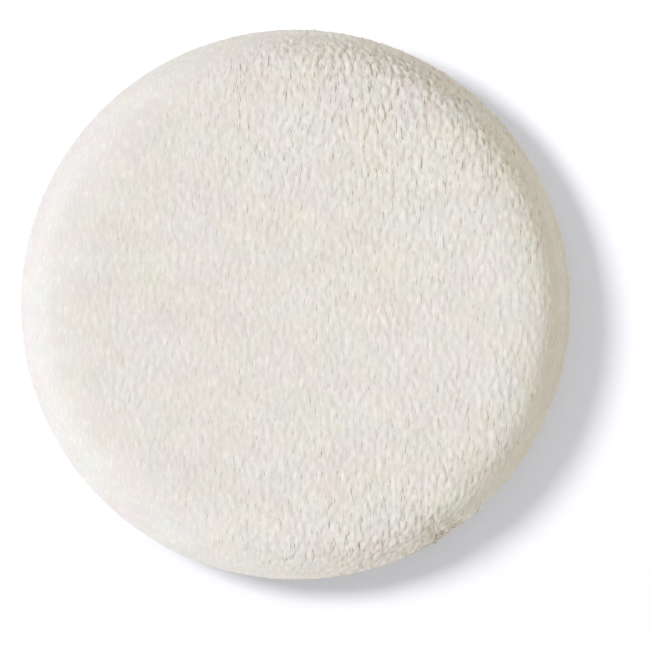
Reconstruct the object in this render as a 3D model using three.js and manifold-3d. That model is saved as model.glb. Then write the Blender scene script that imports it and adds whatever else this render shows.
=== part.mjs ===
// Round velour powder puff: two covers sewn edge to edge round a foam disc and two plies of wadding.
// Millimetres, +Z up through the face. The origin is the middle of the underside, and +Y is up the nap.
import * as THREE from 'three';
import { mergeVertices } from 'three/addons/utils/BufferGeometryUtils.js';
import Module from 'manifold-3d';

// Whole puff
const DIAMETER = 70;
const FOAM_THICKNESS = 5.8;
const WADDING_THICKNESS = 2;
const COVER_THICKNESS = 2;
const SHOULDER_WIDTH = 6.5; // from the flat of a face out to the widest part of the side
const SIDE_TILT = 70; // degrees from level of the side at its widest part, which falls evenly to the flat
const CROWN = 0.3; // how far the middle of the face stands over the edge of its flat
const FOAM_EDGE_RADIUS = 1;

// Seam: the covers roll in to a crease and lie face to face inside as the seam allowance
const CREASE_DEPTH = 0.9;
const ROLL_HEIGHT = 1; // from the seam to the widest part of the side
const ALLOWANCE_WIDTH = 5;
const ALLOWANCE_THICKNESS = 1;

// Threads
const THREAD_DIAMETER = 0.4;
const STITCH_LENGTH = 6.5;
const THREAD_TAIL = 2; // left lying past the last hole at each end
const TURNING_GAP = 32; // length of the crease left open to turn and fill the puff
const TURNING_GAP_AZIMUTH = -58; // degrees from +X to the middle of that gap
const CLOSING_STITCHES = 5;

const CLEARANCE = 0.3; // between pieces that touch

// Facets
const SEGMENTS = 36; // round the puff
const OUTSIDE_STEPS = 6; // from the rim of a crowned surface to its flat
const INSIDE_STEPS = 5;
const ROLL_STEPS = 3;
const EDGE_STEPS = 3;
const THREAD_SIDES = 5;
const HOLE_SIDES = 4;
const LOOP_STEPS = 6; // round a closing stitch
const WELD = 1e-4; // points nearer than this are one point

// Levels are heights from the seam, the same to both sides of it
const foamLevel = FOAM_THICKNESS / 2;
const waddingInside = foamLevel + CLEARANCE;
const waddingOutside = waddingInside + WADDING_THICKNESS;
const coverInside = waddingOutside + CLEARANCE;
const coverOutside = coverInside + COVER_THICKNESS;
const seamHeight = coverOutside;

const allowanceLow = CLEARANCE / 2;
const allowanceHigh = allowanceLow + ALLOWANCE_THICKNESS;
const threadLevel = allowanceHigh + CLEARANCE + THREAD_DIAMETER / 2;
const waddingRim = threadLevel + THREAD_DIAMETER / 2 + CLEARANCE;

// Distances from the axis
const radius = DIAMETER / 2;
const coverWall = radius - COVER_THICKNESS;
const waddingWall = coverWall - CLEARANCE;
const flatRadius = radius - SHOULDER_WIDTH;
const creaseRadius = radius - CREASE_DEPTH;
const stitchRadius = creaseRadius - ALLOWANCE_WIDTH / 2;
const allowanceRadius = creaseRadius - ALLOWANCE_WIDTH;
const foamRadius = allowanceRadius - CLEARANCE;

const sideTilt = THREE.MathUtils.degToRad(SIDE_TILT);

// Angles of the turning gap and of the stitches in it and round the rest of the seam
const gapMiddle = THREE.MathUtils.degToRad(TURNING_GAP_AZIMUTH);
const gapAngle = TURNING_GAP / creaseRadius;
const seamAngle = 2 * Math.PI - gapAngle;
const tailRoom = THREAD_TAIL + THREAD_DIAMETER + 2 * CLEARANCE;
const closingAngle = (TURNING_GAP - 2 * tailRoom) / creaseRadius;
const seamStitches = Math.round((seamAngle * stitchRadius) / STITCH_LENGTH);
const seamHoles = [];
for (let i = 0; i <= seamStitches; i += 1) {
  seamHoles.push(gapMiddle + gapAngle / 2 + (seamAngle * i) / seamStitches);
}

const wasm = await Module();
wasm.setup();

// Merged triangles of a closed shape, without the empty ones that a lathe leaves on its axis.
function welded(geometry) {
  const bare = geometry.clone();
  bare.deleteAttribute('normal');
  bare.deleteAttribute('uv');
  const merged = mergeVertices(bare, WELD);
  const corners = merged.index.array;
  const kept = [];
  for (let i = 0; i < corners.length; i += 3) {
    const [a, b, c] = corners.slice(i, i + 3);
    if (a !== b && b !== c && c !== a) kept.push(a, b, c);
  }
  merged.setIndex(kept);
  merged.computeVertexNormals();
  return merged;
}

function toSolid(geometry) {
  const shape = welded(geometry);
  return new wasm.Manifold(new wasm.Mesh({
    numProp: 3,
    vertProperties: new Float32Array(shape.attributes.position.array),
    triVerts: new Uint32Array(shape.index.array),
  }));
}

function toGeometry(solid) {
  const mesh = solid.getMesh();
  const geometry = new THREE.BufferGeometry();
  geometry.setAttribute('position', new THREE.BufferAttribute(mesh.vertProperties, 3));
  geometry.setIndex(new THREE.BufferAttribute(mesh.triVerts, 1));
  geometry.computeVertexNormals();
  return geometry;
}

// A profile's points are (distance from the axis, height), anticlockwise round the material.
function turned(profile) {
  const geometry = new THREE.LatheGeometry(profile, SEGMENTS);
  geometry.rotateX(Math.PI / 2);
  return welded(geometry);
}

// The same profile on the other side of the seam.
function below(profile) {
  return profile.map((point) => new THREE.Vector2(point.x, -point.y)).reverse();
}

// A crowned surface from its rim, at the height lowest, to the axis. Its slope falls evenly from the widest part of
// the side to the flat, whose middle stands over its edge by the crown.
function crowned(wall, lowest, top, crown, steps) {
  const rise = top - crown - ROLL_HEIGHT;
  const first = Math.acos(Math.cos(sideTilt) ** (1 - (lowest - ROLL_HEIGHT) / rise));
  const points = [];
  for (let i = 0; i <= steps; i += 1) {
    const tilt = first * (1 - i / steps);
    const up = 1 - Math.log(Math.cos(tilt)) / Math.log(Math.cos(sideTilt));
    points.push(new THREE.Vector2(flatRadius + ((wall - flatRadius) * tilt) / sideTilt, ROLL_HEIGHT + rise * up));
  }
  if (crown > 0) points.push(new THREE.Vector2(flatRadius / 2, top - crown / 4));
  points.push(new THREE.Vector2(0, top));
  return points;
}

// Cover: lining side, turned-in allowance, roll at the crease, then the pile side.
function coverProfile(crown) {
  const lining = crowned(coverWall, allowanceHigh, coverInside, crown, INSIDE_STEPS).reverse();
  const allowance = [
    new THREE.Vector2(allowanceRadius, allowanceHigh),
    new THREE.Vector2(allowanceRadius, allowanceLow),
  ];
  const roll = [];
  for (let i = 0; i < ROLL_STEPS; i += 1) {
    const turn = (Math.PI / 2) * (i / ROLL_STEPS);
    roll.push(new THREE.Vector2(
      creaseRadius + CREASE_DEPTH * Math.sin(turn),
      ROLL_HEIGHT - (ROLL_HEIGHT - allowanceLow) * Math.cos(turn),
    ));
  }
  const pile = crowned(radius, ROLL_HEIGHT, coverOutside, crown, OUTSIDE_STEPS);
  return [...lining, ...allowance, ...roll, ...pile];
}

// Wadding: a cap over the foam whose rim stands over the seam allowance and its stitches.
function waddingProfile(crown) {
  return [
    new THREE.Vector2(0, waddingInside),
    new THREE.Vector2(allowanceRadius, waddingInside),
    new THREE.Vector2(allowanceRadius, waddingRim),
    ...crowned(waddingWall, waddingRim, waddingOutside, crown, INSIDE_STEPS),
  ];
}

function foamProfile() {
  const upper = [];
  for (let i = 0; i <= EDGE_STEPS; i += 1) {
    const turn = (Math.PI / 2) * (i / EDGE_STEPS);
    upper.push(new THREE.Vector2(
      foamRadius - FOAM_EDGE_RADIUS * (1 - Math.cos(turn)),
      foamLevel - FOAM_EDGE_RADIUS * (1 - Math.sin(turn)),
    ));
  }
  upper.push(new THREE.Vector2(0, foamLevel));
  return [...below(upper), ...upper];
}

// A thread's route, straight from point to point, with one ring of the thread at each point.
class ThreadRoute extends THREE.Curve {
  constructor(points) {
    super();
    this.points = points;
  }

  getUtoTmapping(u) {
    return u;
  }

  getPoint(t, target = new THREE.Vector3()) {
    const place = t * (this.points.length - 1);
    const i = Math.min(Math.floor(place), this.points.length - 2);
    return target.lerpVectors(this.points[i], this.points[i + 1], place - i);
  }

  // Halfway between the directions of the two runs that meet at a point.
  getTangent(t, target = new THREE.Vector3()) {
    const last = this.points.length - 1;
    const i = Math.round(t * last);
    target.set(0, 0, 0);
    for (const start of [i - 1, i]) {
      if (start < 0 || start === last) continue;
      target.add(this.points[start + 1].clone().sub(this.points[start]).normalize());
    }
    return target.normalize();
  }
}

function thread(points, threadRadius) {
  const corners = [];
  for (let i = 0; i < THREAD_SIDES; i += 1) {
    const turn = (2 * Math.PI * i) / THREAD_SIDES;
    corners.push(new THREE.Vector2(threadRadius * Math.cos(turn), threadRadius * Math.sin(turn)));
  }
  return welded(new THREE.ExtrudeGeometry(new THREE.Shape(corners), {
    steps: points.length - 1,
    bevelEnabled: false,
    extrudePath: new ThreadRoute(points),
  }));
}

function around(distance, azimuth, height) {
  return new THREE.Vector3(distance * Math.cos(azimuth), distance * Math.sin(azimuth), height);
}

// The seam thread runs over one allowance, through a hole and under the other, and so on round.
function seamRoute() {
  const tail = THREAD_TAIL / stitchRadius;
  const points = [around(stitchRadius, seamHoles[0] - tail, threadLevel)];
  let level = threadLevel;
  for (const hole of seamHoles) {
    points.push(around(stitchRadius, hole, level), around(stitchRadius, hole, -level));
    level = -level;
  }
  points.push(around(stitchRadius, seamHoles[seamStitches] + tail, level));
  return points;
}

// The closing thread winds through both allowances and out over the crease, stitch by stitch.
function closingRoute() {
  const outermost = creaseRadius + CLEARANCE + THREAD_DIAMETER / 2;
  const middle = outermost - threadLevel;
  const steps = CLOSING_STITCHES * LOOP_STEPS;
  const points = [];
  for (let i = 0; i <= steps; i += 1) {
    const turn = Math.PI - (2 * Math.PI * i) / LOOP_STEPS;
    const azimuth = gapMiddle + closingAngle * (i / steps - 0.5);
    points.push(around(middle + threadLevel * Math.cos(turn), azimuth, threadLevel * Math.sin(turn)));
  }
  return points;
}

// A way through for a thread, with its clearance, made with the given number of sides.
function bore(sides) {
  return (THREAD_DIAMETER / 2 + CLEARANCE) / Math.cos(Math.PI / sides);
}

// A cover is pierced by the seam's needle holes and by the closing thread's way through it.
function pierced(profile) {
  let cover = toSolid(turned(profile));
  for (const hole of seamHoles) {
    const awl = new THREE.CylinderGeometry(bore(HOLE_SIDES), bore(HOLE_SIDES), 2 * threadLevel, HOLE_SIDES);
    awl.rotateX(Math.PI / 2);
    awl.rotateZ(hole);
    awl.translate(...around(stitchRadius, hole, 0));
    cover = cover.subtract(toSolid(awl));
  }
  return toGeometry(cover.subtract(toSolid(thread(closingRoute(), bore(THREAD_SIDES)))));
}

const puff = new THREE.Group();
puff.name = 'powder_puff';
puff.position.z = seamHeight;

function addPiece(name, geometry, color, roughness) {
  const material = new THREE.MeshStandardMaterial({ color, roughness, metalness: 0 });
  const mesh = new THREE.Mesh(geometry, material);
  mesh.name = name;
  puff.add(mesh);
}

addPiece('front_cover', pierced(coverProfile(CROWN)), 0xe4dfd7, 0.95);
addPiece('back_cover', pierced(below(coverProfile(0))), 0xe4dfd7, 0.95);
addPiece('front_wadding', turned(waddingProfile(CROWN)), 0xf4f2ec, 1);
addPiece('back_wadding', turned(below(waddingProfile(0))), 0xf4f2ec, 1);
addPiece('foam_core', turned(foamProfile()), 0xf1ead6, 0.9);
addPiece('seam_thread', thread(seamRoute(), THREAD_DIAMETER / 2), 0xe9e3d5, 0.7);
addPiece('closing_thread', thread(closingRoute(), THREAD_DIAMETER / 2), 0xe9e3d5, 0.7);

export default puff;
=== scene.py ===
import math

import bmesh
import bpy
import numpy as np
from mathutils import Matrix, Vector, noise


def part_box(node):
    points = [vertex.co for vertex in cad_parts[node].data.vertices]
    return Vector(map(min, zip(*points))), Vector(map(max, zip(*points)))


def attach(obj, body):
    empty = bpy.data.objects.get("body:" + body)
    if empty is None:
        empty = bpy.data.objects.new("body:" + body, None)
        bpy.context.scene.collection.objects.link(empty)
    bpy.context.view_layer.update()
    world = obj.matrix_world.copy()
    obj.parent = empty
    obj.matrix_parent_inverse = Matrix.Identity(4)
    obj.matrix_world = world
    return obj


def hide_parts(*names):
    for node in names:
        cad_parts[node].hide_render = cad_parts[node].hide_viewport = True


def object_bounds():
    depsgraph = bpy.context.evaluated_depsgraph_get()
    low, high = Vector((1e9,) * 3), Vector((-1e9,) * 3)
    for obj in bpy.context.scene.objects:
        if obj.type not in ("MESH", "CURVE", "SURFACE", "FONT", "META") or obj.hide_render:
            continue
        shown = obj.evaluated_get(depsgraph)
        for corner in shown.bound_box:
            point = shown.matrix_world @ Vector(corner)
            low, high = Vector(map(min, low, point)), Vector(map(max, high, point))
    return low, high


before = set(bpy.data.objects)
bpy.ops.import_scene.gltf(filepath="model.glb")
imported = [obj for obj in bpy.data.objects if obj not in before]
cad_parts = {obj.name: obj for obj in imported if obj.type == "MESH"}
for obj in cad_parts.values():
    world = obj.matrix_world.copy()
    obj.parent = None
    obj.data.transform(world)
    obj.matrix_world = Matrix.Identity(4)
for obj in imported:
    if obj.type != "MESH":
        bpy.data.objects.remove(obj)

bl_info = {
    "name": "Velour powder puff",
    "version": (1, 0, 0),
    "blender": (4, 5, 0),
    "location": "3D View > Sidebar > Puff",
    "description": "Dresses the packed solids of a round powder puff in velour, filling and stitches",
    "category": "Object",
}

CAD_LOW, CAD_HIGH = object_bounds()
MM = 0.001
BODY = "root"
# The map on the pile that its pattern follows, and the cover's own map of its flat panel.
BAKE_MAP = "OFBake"
PANEL_MAP = "panel_at"
# Each cover's name, and whether it faces up or down.
COVERS = {"front": 1, "back": -1}
# Signs of the quarters round the axis, for the pile's four patches and the floor's corners.
QUARTERS = ((1, 1), (-1, 1), (-1, -1), (1, -1))


def length_property(name, description, default):
    return bpy.props.FloatProperty(name=name, description=description, default=default, unit="LENGTH")


def angle_property(name, description, degrees):
    return bpy.props.FloatProperty(
        name=name, description=description, default=math.radians(degrees), subtype="ANGLE")


def factor_property(name, description, default):
    return bpy.props.FloatProperty(name=name, description=description, default=default, subtype="FACTOR")


def count_property(name, description, default):
    return bpy.props.IntProperty(name=name, description=description, default=default)


def colour_property(name, description, default):
    return bpy.props.FloatVectorProperty(
        name=name, description=description, default=default, subtype="COLOR", min=0, max=1)


class PuffShape(bpy.types.PropertyGroup):
    """Sizes of the covers and of what fills them."""

    radius: length_property(
        "Radius", "From the axis to the tips of the pile at the widest part of the side",
        (CAD_HIGH.x - CAD_LOW.x) / 2)
    seam_height: length_property(
        "Seam height", "From the floor to the seam round the edge", (CAD_HIGH.z - CAD_LOW.z) / 2)
    shoulder: length_property(
        "Shoulder", "From the flat of the face out to the widest part of the side", 5.5 * MM)
    side_tilt: angle_property(
        "Side tilt", "Slope of the side at its widest part, which falls evenly to the flat", 74)
    crown: length_property(
        "Crown", "How far the middle of a face stands over the edge of its flat", 0.15 * MM)
    roll_height: length_property("Roll height", "From the seam to the widest part of the side", 1.0 * MM)
    crease_depth: length_property("Crease depth", "How far the seam is drawn in", 0.9 * MM)
    pile_depth: length_property("Pile depth", "From the ground cloth to the tips of the pile", 0.4 * MM)
    cloth_thickness: length_property(
        "Cloth thickness", "Thickness of the velour's ground cloth", 0.7 * MM)
    allowance_width: length_property(
        "Allowance width", "Width of the edge that is turned in at the seam", 5.0 * MM)
    seam_gap: length_property("Seam gap", "Between the two covers' turned-in edges", 0.3 * MM)
    swell: length_property("Swell", "How far the filling may push the cloth out", 0.3 * MM)
    closing_azimuth: angle_property(
        "Closing azimuth", "Direction of the closed turning gap, from +X", -58)


class PuffPile(bpy.types.PropertyGroup):
    """Sizes of the velour's pile."""

    height: length_property("Height", "Mean height of the pile over the ground cloth", 0.21 * MM)
    side_start: length_property(
        "Side start", "Where the pile begins to lie smoother, from the panel's middle", 30.0 * MM)
    strand_edge: length_property(
        "Strand edge", "Where the loose strands end, from the panel's middle", 34.0 * MM)
    ruffle: factor_property("Ruffle", "How much deeper the tufts are at the ends of the columns", 1.5)
    slant: factor_property(
        "Slant", "How much deeper the tufts are toward +X and shallower toward -X", 0.3)
    brushing: factor_property(
        "Brushing", "How much further in the pile lies smooth on the side toward -X", 0.2)
    opening_reach: length_property(
        "Opening reach", "How far from the turning gap the pile is frayed", 9.0 * MM)
    relief_step: length_property("Relief step", "Mesh size of the tufts' relief", 0.22 * MM)
    tuft_width: length_property("Tuft width", "From one tuft to the next, across the nap", 0.58 * MM)
    tuft_length: length_property("Tuft length", "From one tuft to the next, along the nap", 1.1 * MM)
    tuft_height: length_property(
        "Tuft height", "From the deepest hollow to the highest tuft", 0.335 * MM)
    wale_pitch: length_property("Wale pitch", "From one column of the knit to the next", 0.945 * MM)
    course_pitch: length_property("Course pitch", "From one strand to the next up a column", 1.1 * MM)
    strands: count_property("Strands", "Strands side by side in one column of the knit", 3)
    strand_length: length_property("Strand length", "Reach of a strand along the nap", 1.35 * MM)
    strand_width: length_property("Strand width", "Width of a strand across the nap", 0.33 * MM)
    strand_thickness: length_property(
        "Strand thickness", "Thickness of a strand where it is widest", 0.08 * MM)
    strand_lift: length_property("Strand lift", "Height of a strand's crown over the tufts", 0.04 * MM)
    unevenness: length_property("Unevenness", "How far a strand may sink into the tufts", 0.03 * MM)
    gather: factor_property(
        "Gather", "Spread of a column's strands: 1 is even, less draws them into a ridge", 0.75)
    wander: length_property("Wander", "How far a column strays from a straight line", 0.3 * MM)
    seed: count_property("Seed", "Seed of the strands' irregularity", 7)


class PuffThread(bpy.types.PropertyGroup):
    """Sizes of the sewing threads."""

    diameter: length_property("Diameter", "Thickness of the thread", 0.4 * MM)
    twist: length_property("Twist", "Length of one turn of the plies", 1.1 * MM)
    stitch_length: length_property(
        "Stitch length", "From one needle hole of the seam to the next", 6.5 * MM)
    turning_gap: length_property("Turning gap", "Length of the seam that is closed by hand", 32.0 * MM)
    closing_stitches: count_property("Closing stitches", "Stitches over the turning gap", 5)


class PuffColours(bpy.types.PropertyGroup):
    """Colours, in linear light."""

    velour: colour_property("Velour", "Tips of the pile", (0.8, 0.767, 0.72))
    velour_warm: colour_property("Velour, warm", "Warmer patches of the pile", (0.795, 0.752, 0.69))
    ground: colour_property("Ground cloth", "Knit that carries the pile", (0.78, 0.745, 0.69))
    wadding: colour_property("Wadding", "Fibre wadding", (0.88, 0.87, 0.83))
    foam: colour_property("Foam", "Foam disc", (0.86, 0.8, 0.64))
    thread: colour_property("Thread", "Sewing thread", (0.82, 0.78, 0.7))
    floor: colour_property("Floor", "Studio floor", (0.88, 0.9, 0.985))


class PuffStage(bpy.types.PropertyGroup):
    """The camera's framing and the studio's light."""

    frame_width: length_property(
        "Frame width", "What the picture shows at the height of the seam", 82.5 * MM)
    centre: bpy.props.FloatVectorProperty(
        name="Centre", description="Point over which the camera stands", size=2,
        default=(3.7 * MM, -2.58 * MM), unit="LENGTH")
    key_azimuth: angle_property("Key azimuth", "Direction that the main light comes from, from +X", 187)
    key_elevation: angle_property("Key elevation", "Height of the main light over the floor", 50)
    key: colour_property("Key", "Light on a level surface from the main light", (0.473, 0.503, 0.595))
    sky: colour_property(
        "Sky", "Light on a level surface that comes from all sides", (0.518, 0.491, 0.398))
    sky_lean: factor_property(
        "Sky lean", "How much brighter the sky is across from the main light", 0.27)
    floor_azimuth: angle_property(
        "Floor light azimuth", "Direction that the floor's light comes from, from +X", 156)
    floor_elevation: angle_property(
        "Floor light elevation", "Height of the floor's light over the floor", 57.5)
    floor_distance: length_property(
        "Floor light distance", "From the floor's light to the puff", 380 * MM)
    floor_key: colour_property(
        "Floor light", "Light on the floor from its own light", (0.515, 0.505, 0.485))
    floor_fill: colour_property(
        "Floor fill", "Light on the floor that also reaches the shadow", (0.138, 0.152, 0.21))


def around(distance, azimuth, height):
    return (distance * math.cos(azimuth), distance * math.sin(azimuth), height)


def made(name, data):
    """A new object in the scene that holds the data."""
    piece = bpy.data.objects.new(name, data)
    bpy.context.scene.collection.objects.link(piece)
    return piece


def evaluated(piece):
    """What the piece's modifiers make of it, as a plain mesh."""
    bpy.context.view_layer.update()
    mesh = bpy.data.meshes.new_from_object(piece.evaluated_get(bpy.context.evaluated_depsgraph_get()))
    if not mesh.polygons:
        raise RuntimeError(f"{piece.name}: its modifiers made no faces")
    return mesh


def settle(piece):
    """Puts what the modifiers make into the piece's own mesh and removes them."""
    mesh = evaluated(piece)
    piece.modifiers.clear()
    old = piece.data
    piece.data = mesh
    bpy.data.meshes.remove(old)
    mesh.name = piece.name
    return piece


def points_of(mesh, kind="co"):
    found = np.empty(len(mesh.vertices) * 3)
    mesh.vertices.foreach_get(kind, found)
    return found.reshape(-1, 3)


def put_points(mesh, points):
    mesh.vertices.foreach_set("co", np.asarray(points, np.float32).ravel())
    mesh.update()


def smooth(mesh):
    mesh.polygons.foreach_set("use_smooth", [True] * len(mesh.polygons))
    mesh.update()


def dressed(piece, material=None):
    """Gives the finished piece its material and the body that it rides on."""
    if material is not None:
        piece.data.materials.clear()
        piece.data.materials.append(material)
    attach(piece, BODY)
    return piece


def socket(sockets, name):
    """The socket at that place, or the one in use that has that name."""
    if isinstance(name, int):
        return sockets[name]
    return next(s for s in sockets if s.name == name and not s.is_unavailable)


class Nodes:
    """Adds nodes to a tree. A value for an input is linked if it is a socket, and otherwise set."""

    def __init__(self, tree):
        self.tree = tree

    def link(self, source, target):
        self.tree.links.new(source, target)

    def node(self, kind, values=None, **settings):
        node = self.tree.nodes.new(kind)
        for name, value in settings.items():
            setattr(node, name, value)
        for name, value in (values or {}).items():
            target = socket(node.inputs, name)
            if isinstance(value, bpy.types.NodeSocket):
                self.link(value, target)
            else:
                target.default_value = value
        return node

    def out(self, kind, values=None, **settings):
        """First output of a new node."""
        return self.node(kind, values, **settings).outputs[0]

    def calc(self, operation, *values):
        return self.out("ShaderNodeMath", dict(enumerate(values)), operation=operation)

    def vector(self, operation, *values):
        node = self.node("ShaderNodeVectorMath", dict(enumerate(values)), operation=operation)
        return socket(node.outputs, "Value" if operation in {"LENGTH", "DOT_PRODUCT"} else "Vector")

    def scaled(self, value, factor):
        return self.out("ShaderNodeVectorMath", {0: value, "Scale": factor}, operation="SCALE")

    def combine(self, *values):
        return self.out("ShaderNodeCombineXYZ", dict(enumerate(values)))

    def separate(self, value):
        return self.node("ShaderNodeSeparateXYZ", {0: value}).outputs

    def ranged(self, value, low, high, to_low=0.0, to_high=1.0):
        return self.out("ShaderNodeMapRange", {
            "Value": value, "From Min": low, "From Max": high, "To Min": to_low, "To Max": to_high})

    def clouds(self, place, scale, detail=2.0, **values):
        return self.out(
            "ShaderNodeTexNoise", {"Vector": place, "Scale": scale, "Detail": detail, **values})

    def blended(self, factor, first, second):
        """A colour between the first and the second."""
        node = self.node("ShaderNodeMix", {"Factor": factor, "A": first, "B": second}, data_type="RGBA")
        return socket(node.outputs, "Result")

    def on_object(self):
        return self.node("ShaderNodeTexCoord").outputs["Object"]

    def scattered(self, low, high, seed):
        """A random number or vector for each point, between low and high."""
        kind = "FLOAT_VECTOR" if isinstance(low, tuple) else "FLOAT"
        values = {"Min": low, "Max": high, "Seed": seed}
        node = self.node("FunctionNodeRandomValue", values, data_type=kind)
        return socket(node.outputs, "Value")

    def captured(self, geometry, **fields):
        """Keeps these fields on the geometry's points. Returns it and the kept fields, in order."""
        node = self.node("GeometryNodeCaptureAttribute", {0: geometry})
        for label, value in fields.items():
            kind = "FLOAT" if value.type in {"VALUE", "BOOLEAN", "INT"} else "VECTOR"
            node.capture_items.new(kind, label.capitalize())
            self.link(value, node.inputs[label.capitalize()])
        return node.outputs[0], *(node.outputs[label.capitalize()] for label in fields)

    def moved(self, geometry, **values):
        return self.out("GeometryNodeSetPosition", {"Geometry": geometry, **values})

    def joined(self, *parts):
        node = self.node("GeometryNodeJoinGeometry")
        for part in parts:
            self.link(part, node.inputs[0])
        return node.outputs[0]

    def tube(self, line, sides, radius, **values):
        """A closed mesh of that many sides along the line."""
        ring = self.out("GeometryNodeCurvePrimitiveCircle", {"Resolution": sides, "Radius": radius})
        return self.out("GeometryNodeCurveToMesh", {
            "Curve": line, "Profile Curve": ring, "Fill Caps": True, **values})

    def finished(self, geometry, given, result):
        """Gives the geometry the tree's material and makes it the tree's result."""
        geometry = self.out(
            "GeometryNodeSetMaterial", {"Geometry": geometry, "Material": given["Material"]})
        self.link(geometry, result["Geometry"])


def label_of(name):
    return name.replace("_", " ").capitalize()


def new_tree(name, sizes, counts=(), places=()):
    """A geometry tree with these named inputs: its nodes, its inputs' sockets and its result's."""
    tree = bpy.data.node_groups.new(name, "GeometryNodeTree")
    inputs = {"Geometry": ("geometry",), "Float": sizes, "Int": counts, "Vector": places,
              "Material": ("material",)}
    for kind, names in inputs.items():
        for label in names:
            tree.interface.new_socket(label_of(label), in_out="INPUT", socket_type=f"NodeSocket{kind}")
    tree.interface.new_socket("Geometry", in_out="OUTPUT", socket_type="NodeSocketGeometry")
    n = Nodes(tree)
    return n, n.node("NodeGroupInput").outputs, n.node("NodeGroupOutput").inputs


def with_tree(piece, tree, **values):
    """Puts the tree on the piece, with these inputs."""
    modifier = piece.modifiers.new(tree.name, "NODES")
    modifier.node_group = tree
    named = {i.name: i.identifier for i in tree.interface.items_tree if i.in_out == "INPUT"}
    for name, value in values.items():
        modifier[named[label_of(name)]] = value
    return piece


def new_material(name, **constants):
    """A material with a Principled shader that has these constants on its sockets."""
    material = bpy.data.materials.new(name)
    material.use_nodes = True
    shader = material.node_tree.nodes["Principled BSDF"]
    for label, value in constants.items():
        shader.inputs[label.replace("_", " ")].default_value = value
    return material, Nodes(material.node_tree), shader.inputs


def opaque(colour):
    return (*colour, 1.0)


def shaded(colour, share):
    return (*(c * share for c in colour), 1.0)


# Most values of a noise lie between these.
NOISE_SPAN = (0.35, 0.65)
# The velour's pattern: features to a panel's width, and how far they change its colour.
WARM_PATCHES, TINTS, WORN_PATCHES = 9.0, 15.0, 22.0
STRANDS_ACROSS_AND_UP = (240.0, 62.0, 1.0)
# The strands' darker roots are painted shade, and their paler tips a painted highlight.
TINT_DEPTH, ROOT_SHADE, TIP_HIGHLIGHT, WORN_DEPTH = 0.13, 0.04, 0.09, 0.02
ROOT_SHADE_SPAN, TIP_HIGHLIGHT_SPAN = (0.3, 0.6), (0.55, 0.7)
# Features of the other patterns to the metre.
KNIT_COLUMNS, KNIT_ROWS, FIBRES, FOAM_CELLS, SLUBS = 330.0, 480.0, 900.0, 1100.0, 1400.0


def velour_material(colours):
    """Pile: cream, uneven from patch to patch, with painted shade at strand roots and painted highlights
    at tips.
    """
    material, n, shader = new_material(
        "cream velour", Roughness=0.95, Specular_IOR_Level=0.15, Sheen_Weight=0.03, Sheen_Roughness=0.6)
    panel = n.out("ShaderNodeUVMap", uv_map=BAKE_MAP)
    patches = n.ranged(n.clouds(panel, WARM_PATCHES), *NOISE_SPAN)
    tone = n.blended(patches, opaque(colours.velour), opaque(colours.velour_warm))
    tints = n.node(
        "ShaderNodeTexNoise", {"Vector": panel, "Scale": TINTS, "Detail": 4.0, "Roughness": 0.6})
    tints = n.vector(
        "MULTIPLY_ADD", tints.outputs["Color"], (TINT_DEPTH,) * 3, (1 - TINT_DEPTH / 2,) * 3)
    tone = n.vector("MULTIPLY", tone, tints)
    upright = n.out("ShaderNodeMapping", {"Vector": panel, "Scale": STRANDS_ACROSS_AND_UP})
    strands = n.clouds(upright, 1.0)
    # Painted shade: the strands' roots darker.
    roots = n.ranged(strands, *ROOT_SHADE_SPAN, 1 - ROOT_SHADE, 1.0)
    # Painted highlight: the strands' tips paler.
    tips = n.ranged(strands, *TIP_HIGHLIGHT_SPAN, 0.0, TIP_HIGHLIGHT)
    worn = n.ranged(n.clouds(panel, WORN_PATCHES), *NOISE_SPAN, 1 - WORN_DEPTH, 1 + WORN_DEPTH)
    strands = n.calc("MULTIPLY", n.calc("ADD", roots, tips), worn)
    n.link(n.scaled(tone, strands), shader["Base Color"])
    return material


def toned(n, shader, pattern, span, colour, shade_and_tone, bump=None):
    """Colours a surface by a pattern, darker where the pattern is low: painted shade in the hollow of a
    bump, uneven tone where there is no bump. A bump is its strength and its depth.
    """
    tone = n.blended(n.ranged(pattern, *span), shaded(colour, shade_and_tone), opaque(colour))
    n.link(tone, shader["Base Color"])
    if bump:
        raised = {"Strength": bump[0], "Distance": bump[1], "Height": pattern}
        n.link(n.out("ShaderNodeBump", raised), shader["Normal"])


def ground_material(colours):
    """Ground cloth of the velour: a fine knit of columns and rows."""
    material, n, shader = new_material("velour ground knit", Roughness=0.95, Specular_IOR_Level=0.1)
    place = n.on_object()
    columns, rows = (
        n.node("ShaderNodeTexWave", {"Vector": place, "Scale": scale, "Distortion": uneven},
               bands_direction=axis).outputs[1]
        for axis, scale, uneven in (("X", KNIT_COLUMNS, 0.6), ("Y", KNIT_ROWS, 0.8)))
    knit = n.calc("MULTIPLY", columns, rows)
    # Painted shade darkens the knit's hollows to 0.95 of its colour.
    toned(n, shader, knit, (0.0, 0.8), colours.ground, 0.95, (0.4, 0.1 * MM))
    return material


def wadding_material(colours):
    """Wadding: white matted fibres."""
    material, n, shader = new_material(
        "fibre wadding", Roughness=1.0, Specular_IOR_Level=0.1, Sheen_Weight=0.1, Sheen_Roughness=0.7)
    fibres = n.clouds(n.on_object(), FIBRES, 4.0, Distortion=2.5)
    # Painted shade darkens the hollows between the fibres to 0.9 of their colour.
    toned(n, shader, fibres, NOISE_SPAN, colours.wadding, 0.9, (0.5, 0.15 * MM))
    return material


def foam_material(colours):
    """Foam: pale cream, with painted shade in its cells."""
    material, n, shader = new_material("open-cell foam", Roughness=0.9, Specular_IOR_Level=0.2)
    cells = n.node("ShaderNodeTexVoronoi", {"Vector": n.on_object(), "Scale": FOAM_CELLS})
    # Painted shade darkens the cells' hollows to 0.72 of the foam's colour.
    toned(n, shader, cells.outputs["Distance"], (0.1, 0.6), colours.foam, 0.72, (0.6, 0.2 * MM))
    return material


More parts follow.
